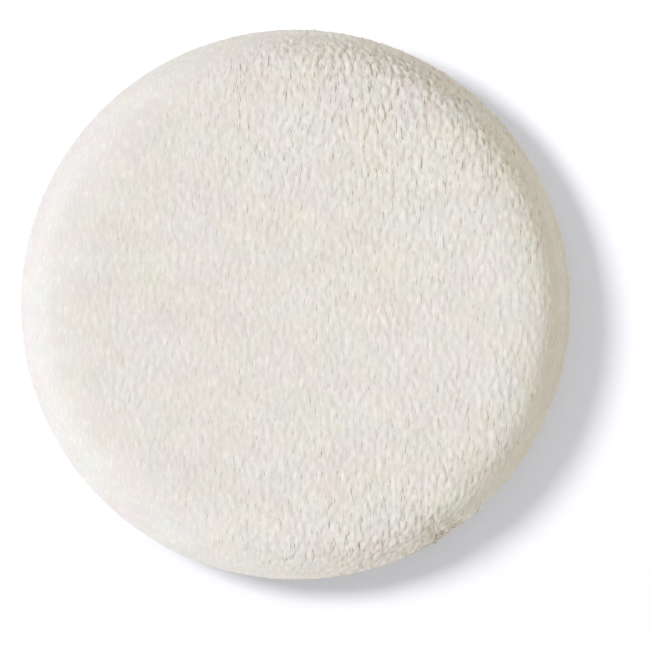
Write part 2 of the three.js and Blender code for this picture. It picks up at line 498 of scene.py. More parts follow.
def thread_material(colours):
    """Thread: spun cream fibres, a little uneven along its length."""
    material, n, shader = new_material(
        "spun thread", Roughness=0.7, Specular_IOR_Level=0.3, Sheen_Weight=0.15, Sheen_Roughness=0.5)
    toned(n, shader, n.clouds(n.on_object(), SLUBS, 3.0), NOISE_SPAN, colours.thread, 0.88)
    return material


# How finely the turned forms are made.
PROFILE_STEPS, ROLL_STEPS, TURN_SEGMENTS = 30, 7, 128
# What is lower than this share of the roll's height is under the widest part of the side.
UNDER_ROLL = 0.999


def crowned(shape, wall, top, low):
    """A crowned surface from the axis to its rim at the height low.

    Each row of a profile is a distance from the axis and a height over the seam."""
    flat, steep = shape.radius - shape.shoulder, shape.side_tilt
    rise = top - shape.crown - shape.roll_height
    last = math.acos(math.cos(steep) ** (1 - (low - shape.roll_height) / rise))
    share = np.linspace(0, 1, PROFILE_STEPS, endpoint=False)
    face = np.stack([flat * share, top - shape.crown * share**2], 1)
    tilt = np.linspace(0, last, PROFILE_STEPS)
    up = 1 - np.log(np.cos(tilt)) / math.log(math.cos(steep))
    side = np.stack([flat + (wall - flat) * tilt / steep, shape.roll_height + rise * up], 1)
    return np.concatenate([face, side])


def cover_profile(shape, inset, top):
    """A cover's outside from its middle to its turned-in edge."""
    wall = shape.radius - inset
    crease, low = wall - shape.crease_depth, shape.seam_gap / 2
    roll = np.linspace(math.pi / 2, 0, ROLL_STEPS)[1:]
    in_and_down = np.stack([crease + shape.crease_depth * np.sin(roll),
                            shape.roll_height - (shape.roll_height - low) * np.cos(roll)], 1)
    edge = [[crease - shape.allowance_width, low]]
    return np.concatenate([crowned(shape, wall, top, shape.roll_height), in_and_down, edge])


def turned(name, profile):
    """A closed form turned from a profile that starts and ends on the axis."""
    angles = np.linspace(0, 2 * math.pi, TURN_SEGMENTS, endpoint=False)
    points = [around(r, a, h) for r, h in profile[1:-1] for a in angles]
    first, last = len(points), len(points) + 1
    end = first - TURN_SEGMENTS
    points += [(0, 0, profile[0][1]), (0, 0, profile[-1][1])]
    faces = []
    for i in range(TURN_SEGMENTS):
        j = (i + 1) % TURN_SEGMENTS
        faces.append((first, i, j))
        for k in range(0, end, TURN_SEGMENTS):
            after = k + TURN_SEGMENTS
            faces.append((k + i, after + i, after + j, k + j))
        faces.append((end + i, last, end + j))
    mesh = bpy.data.meshes.new(name)
    mesh.from_pydata(points, [], faces)
    work = bmesh.new()
    work.from_mesh(mesh)
    bmesh.ops.recalc_face_normals(work, faces=work.faces)
    work.to_mesh(mesh)
    work.free()
    return mesh


def voxelled(piece, size):
    modifier = piece.modifiers.new("Voxels", "REMESH")
    modifier.mode = "VOXEL"
    modifier.voxel_size = size
    return settle(piece)


SIM_SCALE = 20.0
SIM_FRAMES = 20
SIM_VOXEL = 1.25 * MM
# The cloth starts smaller by this share of its swell, and is held still below this many roll heights.
SIM_SHRINK, SIM_HELD = 0.6, 1.6
SIM_CLOTH = {"quality": 6, "mass": 0.3, "tension_stiffness": 12, "compression_stiffness": 12,
             "bending_stiffness": 2, "use_pressure": True, "uniform_pressure_force": 4}


def swollen(name, shape, top):
    """A cover's dome as the filling swells it: Cloth under pressure, held still at the seam."""
    smaller = SIM_SHRINK * shape.swell
    profile = cover_profile(shape, shape.pile_depth + smaller, top - smaller)
    dome = [tuple(p) for p in profile if p[1] > shape.roll_height * UNDER_ROLL]
    dome += [(dome[-1][0], 0.0), (0.0, 0.0)]
    piece = made(name, turned(name, np.array(dome) * SIM_SCALE))
    voxelled(piece, SIM_VOXEL * SIM_SCALE)
    start = end = points_of(piece.data)
    held = piece.vertex_groups.new(name="seam")
    high = shape.roll_height * SIM_HELD * SIM_SCALE
    held.add([int(i) for i in np.flatnonzero(start[:, 2] < high)], 1.0, "REPLACE")
    cloth = piece.modifiers.new("Filling", "CLOTH")
    for label, value in SIM_CLOTH.items():
        setattr(cloth.settings, label, value)
    cloth.settings.vertex_group_mass = held.name
    cloth.settings.effector_weights.gravity = 0
    cloth.point_cache.frame_start = 1
    cloth.point_cache.frame_end = SIM_FRAMES
    for step in range(1, SIM_FRAMES + 1):
        bpy.context.scene.frame_set(step)
    settle(piece)
    bpy.context.scene.frame_set(1)
    moved = points_of(piece.data) - start
    far = np.linalg.norm(moved, axis=1, keepdims=True)
    end = start + moved * np.minimum(1, shape.swell * SIM_SCALE / np.maximum(far, 1e-9))
    put_points(piece.data, end / SIM_SCALE)
    return piece


def cut_at(piece, height):
    """Keeps what is above that height and returns the mesh for more work, with the cut's edges."""
    work = bmesh.new()
    work.from_mesh(piece.data)
    found = bmesh.ops.bisect_plane(
        work, geom=work.verts[:] + work.edges[:] + work.faces[:], dist=height * 0.02,
        plane_co=(0, 0, height), plane_no=(0, 0, -1), clear_outer=True)
    rim = [e for e in found["geom_cut"] if isinstance(e, bmesh.types.BMEdge) and e.is_boundary]
    return work, rim


def near_closing(shape, azimuth, spread, shift):
    """1 at the turning gap, falling to 0 over the spread to each side of it."""
    off = (azimuth - shape.closing_azimuth - shift + math.pi) % (2 * math.pi) - math.pi
    return np.exp(-((off / spread) ** 2))


def put_out(vert, across, height):
    """Moves a point straight out or in to that distance from the axis, at that height."""
    scale = across / max(1e-6, math.hypot(vert.co.x, vert.co.y))
    vert.co = (vert.co.x * scale, vert.co.y * scale, height)


# The back is pressed flat, softly at the flat's edge, with this room for its pile.
PRESS_SOFTNESS, PRESSED_PILE = 0.3 * MM, 0.3 * MM
# Where a cover's side is drawn in or bulges at the turning gap: how far out, then spread and shift in
# radians.
PULLS = {1: ((-0.8 * MM, 0.03, 0.0), (-0.65 * MM, 0.03, 0.065)), -1: ((0.2 * MM, 0.5, 0.15),)}
PULL_FALLOFF = 16
WELD = 0.02 * MM
# The cloth is made finer this near the middle of the turning gap.
FINE_REACH, FINE_CUTS = 5.0 * MM, 2
# The dome's cloth is evened out above this many roll heights, this many times.
EVEN_OVER, EVEN_TIMES = 1.5, 2


def sheet_of(name, shape, top, side):
    """A cover's cloth as an open sheet, face up: swollen dome, roll at the crease and turned-in edge."""
    piece = swollen(name, shape, top)
    if side < 0:
        points = points_of(piece.data)
        limit = shape.seam_height - PRESSED_PILE
        start = limit - PRESS_SOFTNESS
        over = points[:, 2] > start
        points[over, 2] = limit - PRESS_SOFTNESS * np.exp((start - points[over, 2]) / PRESS_SOFTNESS)
        put_points(piece.data, points)

    work, edges = cut_at(piece, shape.roll_height)
    wall = shape.radius - shape.pile_depth
    for vert in {v for e in edges for v in e.verts}:
        put_out(vert, wall, vert.co.z)
    for across, height in cover_profile(shape, shape.pile_depth, top):
        if height < shape.roll_height * UNDER_ROLL:
            grown = bmesh.ops.extrude_edge_only(work, edges=edges)["geom"]
            edges = [g for g in grown if isinstance(g, bmesh.types.BMEdge)]
            for vert in (g for g in grown if isinstance(g, bmesh.types.BMVert)):
                put_out(vert, across, height)
    bmesh.ops.remove_doubles(work, verts=work.verts[:], dist=WELD)
    bmesh.ops.recalc_face_normals(work, faces=work.faces[:])
    highest = max(work.faces, key=lambda f: f.calc_center_median().z)
    if highest.normal.z < 0:
        bmesh.ops.reverse_faces(work, faces=work.faces[:])
    for _ in range(EVEN_TIMES):
        inner = [v for v in work.verts if v.co.z > shape.roll_height * EVEN_OVER]
        bmesh.ops.smooth_vert(
            work, verts=inner, factor=0.5, use_axis_x=True, use_axis_y=True, use_axis_z=True)
    spot = Vector(around(wall, side * shape.closing_azimuth, shape.roll_height))
    near = [e for e in work.edges
            if ((e.verts[0].co + e.verts[1].co) / 2 - spot).length < FINE_REACH]
    bmesh.ops.subdivide_edges(work, edges=near, cuts=FINE_CUTS, use_grid_fill=True)
    work.to_mesh(piece.data)
    work.free()

    points = points_of(piece.data)
    azimuth = side * np.arctan2(points[:, 1], points[:, 0])
    across = np.clip(np.hypot(points[:, 0], points[:, 1]) / shape.radius, 0, 1)
    pull = sum(out * near_closing(shape, azimuth, spread, shift) for out, spread, shift in PULLS[side])
    points[:, :2] *= 1 + (pull / shape.radius * across**PULL_FALLOFF)[:, None]
    put_points(piece.data, points)
    return piece


PANEL_STEPS = 900
POINTS_AT_ONCE = 4000


def panel_places(shape, top, points):
    """Where each point lies on the flat panel that the cover was cut from, and the panel's own radii."""
    profile = cover_profile(shape, shape.pile_depth, top)
    run = np.concatenate([[0], np.cumsum(np.linalg.norm(np.diff(profile, axis=0), axis=1))])
    at = np.linspace(0, 1, PANEL_STEPS) * run[-1]
    line = np.stack([np.interp(at, run, profile[:, 0]), np.interp(at, run, profile[:, 1])], 1)
    along = np.gradient(line, axis=0)
    along /= np.linalg.norm(along, axis=1, keepdims=True)
    here = np.stack([np.hypot(points[:, 0], points[:, 1]), points[:, 2]], 1)
    reach = np.empty(len(here))
    for part in np.array_split(np.arange(len(here)), 1 + len(here) // POINTS_AT_ONCE):
        near = ((here[part, None] - line[None]) ** 2).sum(2).argmin(1)
        reach[part] = at[near] + ((here[part] - line[near]) * along[near]).sum(1)
    azimuth = np.arctan2(points[:, 1], points[:, 0])
    flat = np.stack([reach * np.cos(azimuth), reach * np.sin(azimuth), 0 * reach], 1)
    return flat, run


# Inputs of the pile's tree that are the pile's own sizes, and the rest of them.
PILE_SIZES = (
    "side_start", "strand_edge", "ruffle", "slant", "opening_reach", "relief_step", "tuft_width",
    "tuft_length", "tuft_height", "wale_pitch", "course_pitch", "gather", "wander", "strand_length",
    "strand_width", "strand_thickness", "strand_lift", "unevenness")
PATCH_SIZES = (
    "panel_width", "pile_edge", "pile_height", "brushing", "tuft_seed", "column_pitch", "floor", "press")
PATCH_COUNTS = ("relief_steps", "columns", "rows", "seed")
PATCH_PLACES = ("opening", "relief_centre", "strand_centre")

# The columns' ends are ruffled: from where to where across the panel, how far from its middle, how much.
ENDS_SPAN, ENDS_SHIFT, ENDS_MOST, ENDS_REACH = (-0.6, 0.4), 0.12, 1.2, 3.0 * MM
TUFT_NOISE = {"Roughness": 0.4, "Distortion": 0.35}
TUFT_DETAIL = 0.6
# Depth of the tufts on the side, as a share of their depth on the face.
SIDE_CALM = 0.3
# The relief's slab before it is shaped, and what is welded in it.
SLAB_START, SLAB_WELD = 0.05 * MM, 0.001 * MM
# Edges that turn more than this many radians stay sharp.
SHARP = 1.2
# Bends of a column: to the metre across the columns and along them, and how far.
BENDS_ACROSS, BENDS_ALONG, BEND_GAIN = 500.0, 300.0, 3.0
# How far a strand's root is shaken, in pitches, and how far the strands' edge is frayed.
SHAKEN_ACROSS, SHAKEN_ALONG = 0.3, 0.5
FRINGE, FRAYED_GAIN = 2.0 * MM, 4.0
# The nap is measured over this step down the panel.
NAP_STEP = 0.3 * MM
# A strand's line: place along its length, and height in widths over its crown.
STRAND_LINE = (("Start", -0.5, -1.2), ("Start Handle", -0.2, 0.4), ("End Handle", 0.25, 0.4),
               ("End", 0.5, -0.9))
STRAND_STEPS, STRAND_SIDES = 3, 4
# A strand's width along it, as a curve's three factors.
STRAND_FAT = (-1.8, 1.5, 0.7)
# The strands' irregularity: sinking, turns in radians, and sizes.
STRAND_SINK, STRAND_LEAN, STRAND_SCALE = (-1.0, 0.3), (0.04, 0.06, 0.2), (0.7, 1.2)


def pile_tree():
    """Pile of one patch of a panel: a soft relief of tufts, with strands on it along the columns.

    Both are set out on the flat panel and carried to the cover through the panel's map."""
    n, given, result = new_tree("Pile", PILE_SIZES + PATCH_SIZES, PATCH_COUNTS, PATCH_PLACES)
    calc, vector, combine, separate, out = n.calc, n.vector, n.combine, n.separate, n.out
    panel = combine(given["Panel width"], given["Panel width"], given["Panel width"])
    position, normal = out("GeometryNodeInputPosition"), out("GeometryNodeInputNormal")
    map_of_cover = out("GeometryNodeInputNamedAttribute", {"Name": PANEL_MAP}, data_type="FLOAT_VECTOR")

    def seeded(step):
        return calc("ADD", given["Seed"], float(step))

    def laid(across, pitch_x, up, pitch_y, centre):
        """A flat grid of that many points, that far apart."""
        grid = out("GeometryNodeMeshGrid", {
            "Size X": calc("MULTIPLY", calc("SUBTRACT", across, 1.0), pitch_x),
            "Size Y": calc("MULTIPLY", calc("SUBTRACT", up, 1.0), pitch_y),
            "Vertices X": across, "Vertices Y": up})
        return n.moved(grid, Offset=centre)

    def charted(flat):
        """A place on the panel, as it is on the panel's map."""
        return vector("ADD", vector("DIVIDE", flat, panel), (0.5, 0.5, 0.0))

    def on_cover(flat, value):
        """The cover's value at a place on the panel, and whether the cover reaches there."""
        node = n.node("GeometryNodeSampleUVSurface", {
            "Mesh": given["Geometry"], "Value": value, "UV Map": map_of_cover,
            "Sample UV": charted(flat)}, data_type="FLOAT_VECTOR")
        return socket(node.outputs, "Value"), node.outputs["Is Valid"]

    def within(reach, found, edge):
        return calc("MULTIPLY", found, calc("LESS_THAN", reach, edge))

    def ends(flat):
        """How far a place is toward the ends of the columns."""
        place = separate(flat)
        across, up = (calc("DIVIDE", place[axis], given["Side start"]) for axis in (0, 1))
        up = calc("POWER", calc("ABSOLUTE", calc("ADD", up, ENDS_SHIFT)), 2.0)
        return calc("MULTIPLY", n.ranged(across, *ENDS_SPAN), calc("MINIMUM", up, ENDS_MOST))

    def brushed(flat):
        """How far out a place counts as, for how smooth the pile lies there."""
        left = calc("MINIMUM", separate(flat)[0], 0.0)
        reach = calc("MULTIPLY_ADD", left, given["Brushing"], vector("LENGTH", flat))
        return calc("MULTIPLY_ADD", ends(flat), -ENDS_REACH, reach)

    def frayed(flat):
        """1 at the turning gap, and 0 out of its reach."""
        off = vector("LENGTH", vector("SUBTRACT", flat, given["Opening"]))
        return n.ranged(off, 0.0, given["Opening reach"], 1.0, 0.0)

    def tufts(flat):
        """Height of the tufts over the ground cloth."""
        spots = vector("DIVIDE", flat, combine(given["Tuft width"], given["Tuft length"], 1.0))
        spots = vector("ADD", spots, combine(0.0, 0.0, given["Tuft seed"]))
        bumps = n.clouds(spots, 1.0, TUFT_DETAIL, **TUFT_NOISE)
        calm = n.ranged(brushed(flat), given["Side start"], given["Strand edge"], 1.0, SIDE_CALM)
        aside = calc("DIVIDE", separate(flat)[0], given["Side start"])
        slant = calc("MULTIPLY", given["Slant"], aside)
        rough = calc("ADD", calc("MULTIPLY_ADD", given["Ruffle"], ends(flat), 1.0), slant)
        rough = calc("MULTIPLY", rough, calc("MAXIMUM", calm, frayed(flat)))
        deep = calc("MULTIPLY", given["Tuft height"], rough)
        return calc("MULTIPLY_ADD", calc("SUBTRACT", bumps, 0.5), deep, given["Pile height"])

    def mapped(geometry, flat):
        """Keeps the place on the panel as the map that the velour's pattern follows."""
        chart = {"Geometry": geometry, "Name": BAKE_MAP, "Value": charted(flat)}
        return out("GeometryNodeStoreNamedAttribute", chart, data_type="FLOAT2", domain="CORNER")

    def softened(geometry):
        """Smooth, with its sharp edges kept."""
        geometry = out("GeometryNodeSetShadeSmooth", {"Geometry": geometry})
        turn = n.node("GeometryNodeInputMeshEdgeAngle").outputs["Unsigned Angle"]
        sharp = {"Geometry": geometry, "Selection": calc("GREATER_THAN", turn, SHARP),
                 "Shade Smooth": False}
        return out("GeometryNodeSetShadeSmooth", sharp, domain="EDGE")

    # Relief of the tufts, as a closed slab.
    count = calc("ADD", given["Relief steps"], 1.0)
    sheet = laid(count, given["Relief step"], count, given["Relief step"], given["Relief centre"])
    sheet, flat = n.captured(sheet, flat=position)
    base, found = on_cover(flat, position)
    upright, _ = on_cover(flat, normal)
    inside = within(vector("LENGTH", flat), found, given["Pile edge"])
    sheet, base, upright, high, used = n.captured(
        sheet, base=base, upright=upright, high=tufts(flat), used=inside)
    unused = {"Geometry": sheet, "Selection": calc("LESS_THAN", used, 0.5)}
    sheet = out("GeometryNodeDeleteGeometry", unused, domain="POINT")
    buried = vector("SUBTRACT", base, n.scaled(upright, given["Pile height"]))
    sheet = n.moved(sheet, Position=buried)
    lifted = n.node("GeometryNodeExtrudeMesh", {
        "Mesh": sheet, "Offset Scale": SLAB_START, "Individual": False}).outputs
    tops = vector("ADD", base, n.scaled(upright, high))
    relief = n.moved(lifted["Mesh"], Selection=lifted["Top"], Position=tops)
    slab = n.joined(out("GeometryNodeFlipFaces", {"Mesh": sheet}), relief)
    relief = out("GeometryNodeMergeByDistance", {"Geometry": slab, "Distance": SLAB_WELD})
    relief = softened(mapped(relief, flat))

    # Roots of the strands, set out along the columns of the knit.
    grid = laid(given["Columns"], given["Column pitch"], given["Rows"], given["Course pitch"],
                given["Strand centre"])
    place = separate(position)
    wale = calc("FLOOR", calc("DIVIDE", place[0], given["Wale pitch"]))
    wale = calc("MULTIPLY", calc("ADD", wale, 0.5), given["Wale pitch"])
    aside = calc("SUBTRACT", place[0], wale)
    along = combine(calc("MULTIPLY", wale, BENDS_ACROSS), calc("MULTIPLY", place[1], BENDS_ALONG), 0.0)
    bend = calc("SUBTRACT", n.clouds(along, 1.0, 1.0), 0.5)
    bend = calc("MULTIPLY", bend, calc("MULTIPLY", given["Wander"], BEND_GAIN))
    shaken = separate(n.scattered((-1.0, -1.0, -1.0), (1.0, 1.0, 1.0), seeded(1)))
    shake_x = calc("MULTIPLY", given["Column pitch"], SHAKEN_ACROSS)
    shake_y = calc("MULTIPLY", given["Course pitch"], SHAKEN_ALONG)
    flat_x = calc("ADD", calc("MULTIPLY_ADD", aside, given["Gather"], wale), bend)
    flat_x = calc("MULTIPLY_ADD", shaken[0], shake_x, flat_x)
    flat_y = calc("MULTIPLY_ADD", shaken[1], shake_y, place[1])
    grid, flat = n.captured(grid, flat=combine(flat_x, flat_y, 0.0))
    root, found = on_cover(flat, position)
    ahead, found_ahead = on_cover(vector("ADD", flat, (0.0, -NAP_STEP, 0.0)), position)
    upright, _ = on_cover(flat, normal)
    fringe = calc("MULTIPLY_ADD", frayed(flat), FRAYED_GAIN, shaken[2])
    fringe = calc("MULTIPLY_ADD", fringe, FRINGE, given["Strand edge"])
    inside = within(brushed(flat), calc("MULTIPLY", found, found_ahead), fringe)
    grid, root, nap, upright, used = n.captured(
        grid, root=root, nap=vector("SUBTRACT", ahead, root), upright=upright, used=inside)
    sunken = calc("MULTIPLY", n.scattered(*STRAND_SINK, seeded(4)), given["Unevenness"])
    lift = n.scaled(upright, calc("ADD", tufts(flat), sunken))
    roots = n.moved(grid, Position=vector("ADD", root, lift))

    # One strand: a flattened tube with pointed ends that dip into the tufts.
    length, wide = given["Strand length"], given["Strand width"]
    half = calc("MULTIPLY", wide, 0.5)
    thin = calc("DIVIDE", given["Strand thickness"], wide)
    crown = calc("SUBTRACT", calc("DIVIDE", given["Strand lift"], thin), half)
    spots = {name: combine(0.0, calc("MULTIPLY", length, reach), calc("MULTIPLY_ADD", wide, rise, crown))
             for name, reach, rise in STRAND_LINE}
    line = out("GeometryNodeCurvePrimitiveBezierSegment", {"Resolution": STRAND_STEPS, **spots})
    factor = n.node("GeometryNodeSplineParameter").outputs["Factor"]
    fat = calc("MULTIPLY_ADD", factor, STRAND_FAT[0], STRAND_FAT[1])
    fat = calc("MULTIPLY_ADD", fat, factor, STRAND_FAT[2])
    strand = n.tube(line, STRAND_SIDES, half, Scale=fat)
    strand, own = n.captured(strand, own=position)
    strand = out("GeometryNodeTransform", {"Geometry": strand, "Scale": combine(1.0, 1.0, thin)})
    strand = softened(strand)

    # The strands on their roots, along the nap.
    stand = out("FunctionNodeAxesToRotation", {"Primary Axis": upright, "Secondary Axis": nap},
                primary_axis="Z", secondary_axis="Y")
    lean = n.scattered(tuple(-turn for turn in STRAND_LEAN), STRAND_LEAN, seeded(2))
    lean = out("FunctionNodeEulerToRotation", {0: lean})
    stand = out("FunctionNodeRotateRotation", {"Rotation": stand, "Rotate By": lean},
                rotation_space="LOCAL")
    scale = n.scattered(*STRAND_SCALE, seeded(3))
    strands = out("GeometryNodeInstanceOnPoints", {
        "Points": roots, "Selection": used, "Instance": strand, "Rotation": stand,
        "Scale": combine(scale, scale, scale)})
    strands = out("GeometryNodeRealizeInstances", {"Geometry": strands})
    own = vector("MULTIPLY", own, (1.0, -1.0, 0.0))
    strands = mapped(strands, vector("ADD", flat, own))

    # What is near the floor is pressed together over it.
    pile = n.joined(strands, relief)
    low = separate(position)
    start = calc("ADD", given["Floor"], given["Press"])
    over = calc("DIVIDE", calc("SUBTRACT", low[2], start), given["Press"])
    pressed = calc("MULTIPLY_ADD", calc("EXPONENT", over), given["Press"], given["Floor"])
    pile = n.moved(pile, Selection=calc("LESS_THAN", over, 0.0),
                   Position=combine(low[0], low[1], pressed))
    n.finished(pile, given, result)
    return n.tree


# The pile ends this far before the turned-in edge, and the map is this many pile radii wide.
PILE_MARGIN, PANEL_ROOM = 0.25 * MM, 2.05
# How far inside the pile's edge the turning gap lies on the panel.
OPENING_INSET = 1.0 * MM
# Height over the floor within which the back's pile is pressed. The front's has no floor near it.
PILE_PRESS, NO_FLOOR = 0.18 * MM, -1.0
# What sets one cover's tufts, one cover's strands and one patch's strands apart from the next one's.
TUFT_SEED_STEP, COVER_SEED_STEP, PATCH_SEED_STEP = 7.3, 100, 10


def cover_cloth(name, shape, side):
    """A cover's cloth in its place, with its panel's map, the pile's radius and the map's width."""
    top = shape.seam_height - shape.pile_depth
    cloth = sheet_of(f"{name}_velour", shape, top, side)
    points = points_of(cloth.data)
    flat, run = panel_places(shape, top, points)
    edge = run[-2] - PILE_MARGIN
    panel = PANEL_ROOM * edge
    chart = cloth.data.attributes.new(PANEL_MAP, "FLOAT_VECTOR", "POINT")
    places = flat / panel + np.array([0.5, 0.5, 0])
    chart.data.foreach_set("vector", places.astype(np.float32).ravel())
    put_points(cloth.data, points * np.array([1, side, side]) + np.array([0, 0, shape.seam_height]))
    smooth(cloth.data)
    return cloth, edge, panel


class PUFF_OT_covers(bpy.types.Operator):
    """Makes both covers of velour: ground cloth, turned-in edge and pile"""

    bl_idname = "puff.covers"
    bl_label = "Velour covers"

    def execute(self, context):
        scene = context.scene
        shape, pile, colours = scene.puff_shape, scene.puff_pile, scene.puff_colours
        ground, velour = ground_material(colours), velour_material(colours)
        tree = pile_tree()
        sizes = {label: getattr(pile, label) for label in PILE_SIZES}
        for index, (name, side) in enumerate(COVERS.items()):
            cloth, edge, panel = cover_cloth(name, shape, side)
            column = pile.wale_pitch / pile.strands
            across, up = int(panel / 2 / column), int(panel / 2 / pile.course_pitch)
            steps = int(panel / 2 / pile.relief_step)
            half = steps * pile.relief_step / 2
            for patch, (right, high) in enumerate(QUARTERS, 1):
                nap = made(f"{name}_pile_{patch}", cloth.data.copy())
                with_tree(
                    nap, tree, **sizes, panel_width=panel, pile_edge=edge, pile_height=pile.height,
                    brushing=-pile.brushing, tuft_seed=TUFT_SEED_STEP * index,
                    opening=around(edge - OPENING_INSET, side * shape.closing_azimuth, 0.0),
                    relief_steps=steps, relief_centre=(right * half, high * half, 0.0),
                    columns=across, rows=up, column_pitch=column,
                    strand_centre=(right * across * column / 2, high * up * pile.course_pitch / 2, 0.0),
                    floor=CAD_LOW.z if side < 0 else NO_FLOOR, press=PILE_PRESS,
                    seed=pile.seed + PATCH_SEED_STEP * patch + COVER_SEED_STEP * index, material=velour)
                dressed(settle(nap))
            wall = cloth.modifiers.new("Wall", "SOLIDIFY")
            wall.thickness = shape.cloth_thickness
            wall.offset = -1.0
            fine = cloth.modifiers.new("Fine", "SUBSURF")
            fine.levels = fine.render_levels = 1
            settle(cloth)
            smooth(cloth.data)
            dressed(cloth, ground)
            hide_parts(f"{name}_cover")
        return {"FINISHED"}


def stuffed(name, profile, voxel, depth, features, octaves):
    """A piece of filling turned from the profile, its surface roughened by a noise.

    The noise has that depth, that many features to the metre and that many octaves."""
    piece = voxelled(made(name, turned(name, np.array(profile))), voxel)
    points, normals = points_of(piece.data), points_of(piece.data, "normal")
    rough = np.array([noise.fractal(Vector(p) * features, 1.0, 2.0, octaves) for p in points])
    put_points(piece.data, points + normals * (depth * np.clip(rough, -1.5, 1.5))[:, None])
    return piece


# The wadding's hollow round the foam: its rounded edge, and how far it widens downward.
HOLLOW_EDGE, HOLLOW_FLARE = 0.3 * MM, 0.1 * MM
WADDING = {"voxel": 0.55 * MM, "depth": 0.12 * MM, "features": 900, "octaves": 3}
FOAM = {"voxel": 0.6 * MM, "depth": 0.1 * MM, "features": 1000, "octaves": 2}
FOAM_EDGE, FOAM_EDGE_STEPS = 1.0 * MM, 6


class PUFF_OT_wadding(bpy.types.Operator):
    """Makes the two plies of wadding under the covers"""

    bl_idname = "puff.wadding"
    bl_label = "Wadding"

    def execute(self, context):
        shape, material = context.scene.puff_shape, wadding_material(context.scene.puff_colours)
        foam_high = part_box("foam_core")[1]
        under = foam_high.z - shape.seam_height + shape.seam_gap
        inner = foam_high.x + shape.seam_gap
        for name, side in COVERS.items():
            low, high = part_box(f"{name}_wadding")
            wall = (high.x - low.x) / 2
            bottom, top = sorted(side * (z - shape.seam_height) for z in (low.z, high.z))
            profile = [(0.0, under), (inner * 0.6, under), (inner - HOLLOW_EDGE, under),
                       (inner, under - HOLLOW_EDGE), (inner + HOLLOW_FLARE, bottom)]
            profile += [tuple(p) for p in reversed(crowned(shape, wall, top, bottom))]
            piece = stuffed(f"{name}_batting", profile, **WADDING)
            points = points_of(piece.data) * np.array([1, side, side])
            put_points(piece.data, points + np.array([0, 0, shape.seam_height]))
            smooth(piece.data)
            dressed(piece, material)
            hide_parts(f"{name}_wadding")
        return {"FINISHED"}


class PUFF_OT_foam(bpy.types.Operator):
    """Makes the foam disc in the middle"""

    bl_idname = "puff.foam"
    bl_label = "Foam disc"

    def execute(self, context):
        low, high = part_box("foam_core")
        wall, half = (high.x - low.x) / 2, (high.z - low.z) / 2
        profile = [(0.0, -half), (wall * 0.5, -half)]
        for turn in np.linspace(-math.pi / 2, 0, FOAM_EDGE_STEPS):
            profile.append((wall - FOAM_EDGE * (1 - math.cos(turn)),
                            -half + FOAM_EDGE * (1 + math.sin(turn))))
        profile += [(across, -height) for across, height in reversed(profile)]
        piece = stuffed("foam_disc", profile, **FOAM)
        put_points(piece.data, points_of(piece.data) + np.array([0, 0, (low.z + high.z) / 2]))
        smooth(piece.data)
        dressed(piece, foam_material(context.scene.puff_colours))
        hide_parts("foam_core")
        return {"FINISHED"}


# The thread's plies: their number and sides, and their place and radius in thread diameters.
PLIES, PLY_SIDES, PLY_PLACE, PLY_RADIUS = 3, 6, 0.26, 0.25
BEND_STEPS = 6
STEPS_PER_TWIST = 8


def thread_tree():
    """A thread of twisted plies along a route whose corners it rounds."""
    n, given, result = new_tree("Thread", ("diameter", "twist", "bend", "spacing"))
    line = n.out("GeometryNodeFilletCurve", {
        "Curve": given["Geometry"], "Radius": given["Bend"], "Limit Radius": True,
        "Count": BEND_STEPS}, mode="POLY")
    line = n.out("GeometryNodeResampleCurve", {"Curve": line, "Length": given["Spacing"]}, mode="LENGTH")
    plies = n.node("GeometryNodeDuplicateElements", {"Geometry": line, "Amount": PLIES}, domain="SPLINE")
    along = n.node("GeometryNodeSplineParameter").outputs["Length"]
    turn = n.calc("MULTIPLY", n.calc("DIVIDE", along, given["Twist"]), 2 * math.pi)
    turn = n.calc("MULTIPLY_ADD", plies.outputs["Duplicate Index"], 2 * math.pi / PLIES, turn)
    side = n.out("GeometryNodeInputNormal")
    other = n.vector("CROSS_PRODUCT", n.out("GeometryNodeInputTangent"), side)
    far = n.calc("MULTIPLY", given["Diameter"], PLY_PLACE)
    first, second = (n.scaled(way, n.calc("MULTIPLY", n.calc(wave, turn), far))
                     for way, wave in ((side, "COSINE"), (other, "SINE")))
    plies = n.moved(plies.outputs["Geometry"], Offset=n.vector("ADD", first, second))
    tubes = n.tube(plies, PLY_SIDES, n.calc("MULTIPLY", given["Diameter"], PLY_RADIUS))
    tubes = n.out("GeometryNodeRealizeInstances", {"Geometry": tubes})
    n.finished(n.out("GeometryNodeSetShadeSmooth", {"Geometry": tubes}), given, result)
    return n.tree


def threaded(name, points, tree, diameter, twist, bend, material):
    """A finished thread along the points."""
    curve = bpy.data.curves.new(f"{name}_route", "CURVE")
    curve.dimensions = "3D"
    line = curve.splines.new("POLY")
    line.points.add(len(points) - 1)
    for spot, point in zip(line.points, points):
        spot.co = (*point, 1.0)
    route = made(curve.name, curve)
    with_tree(route, tree, diameter=diameter, twist=twist, bend=bend,
              spacing=twist / STEPS_PER_TWIST, material=material)
    mesh = evaluated(route)
    bpy.data.objects.remove(route)
    mesh.name = name
    return made(name, mesh)


# Loose end of the closing thread: mm from the axis, degrees from the gap's middle, mm over the floor.
LOOSE_END = (
    (34.3, 1.3, 7.6), (34.8, 1.1, 8.4), (34.85, 0.9, 9.4), (34.6, 0.6, 10.5), (34.2, 0.1, 11.6),
    (33.55, -0.2, 12.4), (33.0, 0.2, 12.95), (32.4, 0.5, 13.5))
# Thickness of the loose end, as a share of the thread's.
LOOSE_SHARE = 0.4
# The threads' ends run on this far past their last stitch.
THREAD_TAIL = 2.0 * MM
SEAM_BEND, CLOSING_BEND, LOOSE_BEND = 0.6 * MM, 0.05 * MM, 0.3 * MM
STEPS_PER_STITCH = 24


